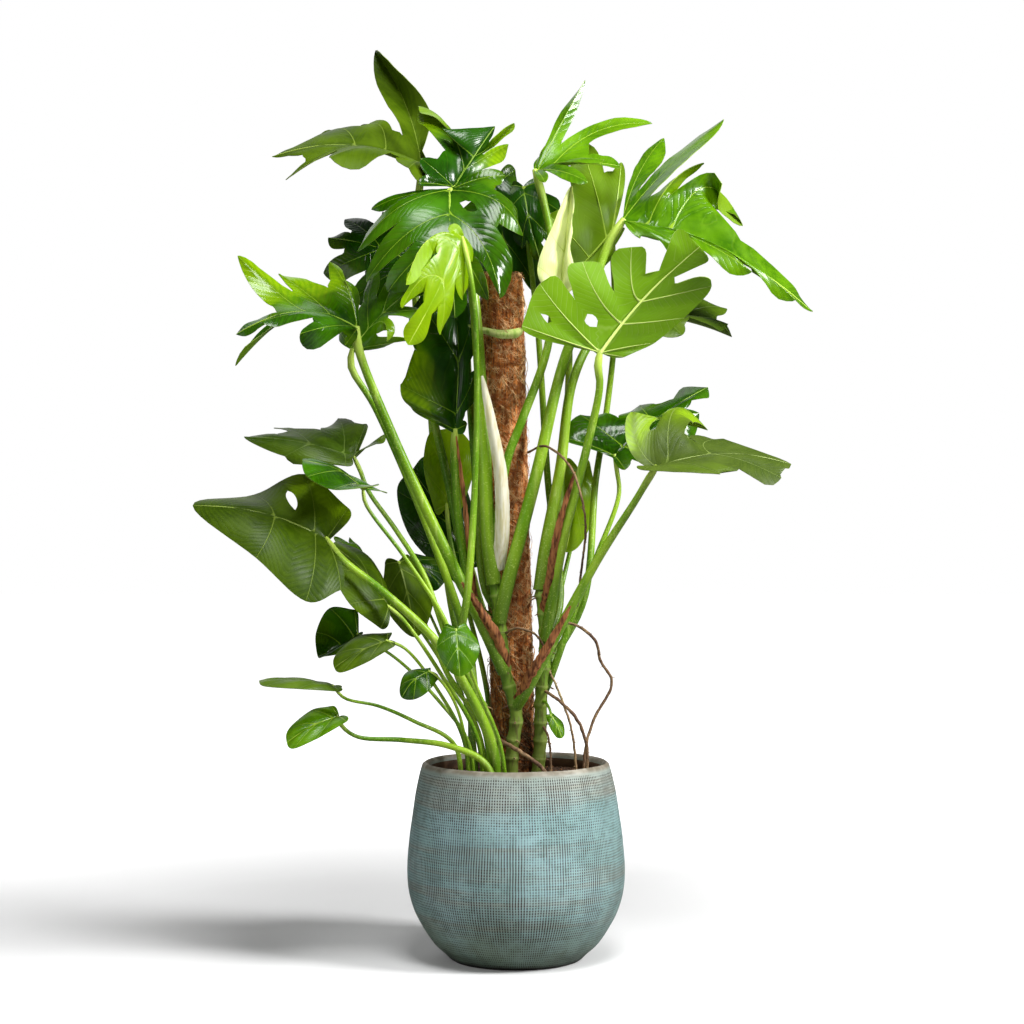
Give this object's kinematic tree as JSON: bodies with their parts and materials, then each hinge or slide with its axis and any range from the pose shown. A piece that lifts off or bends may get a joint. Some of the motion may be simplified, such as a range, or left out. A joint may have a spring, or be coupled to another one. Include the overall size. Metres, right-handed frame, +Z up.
{
  "type": "potted swiss cheese plant",
  "caption": "Climbing house plant with split and holed leaves on long stalks, tied to an upright coir pole in a round woven-textured ceramic planter.",
  "frame": {"origin": "centre of the pot's flat underside", "axes": "+Z up; seen from the front, from -Y towards +Y, +X points to the right"},
  "size_m": [0.9143, 0.4706, 1.407],
  "materials": {
    "pot_glaze": "weathered reactive glaze over a woven texture",
    "coir": "rough coconut fibre",
    "soil": "loose bark and coir compost",
    "stem": "smooth living stem, satin",
    "leaf_green": "waxy leaf, semi gloss",
    "leaf_pale": "soft new leaf, satin",
    "sheath_pale": "thin papery sheath",
    "sheath_dry": "dry papery sheath, matt",
    "root": "dry aerial root, matt"
  },
  "bodies": {
    "root": {"pot": "pot_glaze", "coir_pole": "coir", "stem_left": "stem", "stem_right": "stem", "stem_young": "stem", "leaf_upright_lobe": "leaf_green", "leaf_top": "leaf_green", "leaf_front_crown": "leaf_green", "leaf_backlit": "leaf_green", "leaf_inner_left": "leaf_green", "leaf_inner_right": "leaf_green", "leaf_cluster_left_a": "leaf_green", "leaf_cluster_left_b": "leaf_green", "leaf_hanging": "leaf_green", "leaf_narrow_lobes": "leaf_green", "leaf_under_narrow": "leaf_green", "leaf_big_right": "leaf_green", "leaf_right_inner": "leaf_green", "leaf_rolled_new": "leaf_pale", "leaf_light_front": "leaf_green", "leaf_behind_light": "leaf_green", "leaf_middle_left": "leaf_green", "leaf_middle_left_low": "leaf_green", "leaf_large_low": "leaf_green", "leaf_low_a": "leaf_green", "leaf_low_b": "leaf_green", "leaf_crinkled": "leaf_green", "leaf_behind_left_a": "leaf_green", "leaf_behind_left_b": "leaf_green", "leaf_small_dark": "leaf_green", "leaf_heart_front": "leaf_green", "leaf_low_left_a": "leaf_green", "leaf_low_left_b": "leaf_green", "leaf_small_curled": "leaf_green", "leaf_small_right": "leaf_green", "leaf_edge_on": "leaf_green", "leaf_lowest": "leaf_green", "leaf_right_front": "leaf_green", "leaf_right_back": "leaf_green", "leaf_behind_right": "leaf_green", "pale_sheath": "sheath_pale", "dry_sheath_hanging": "sheath_dry", "dry_sheath_left": "sheath_dry", "dry_sheath_front": "sheath_dry", "dry_sheath_right": "sheath_dry", "pole_wrap_tip": "leaf_pale", "aerial_root_outer": "root", "aerial_root_inner": "root", "aerial_root_front": "root", "aerial_root_pale": "root", "aerial_root_across": "root", "aerial_root_upright": "root", "aerial_root_high": "root", "soil": "soil"}
  },
  "joints": []
}
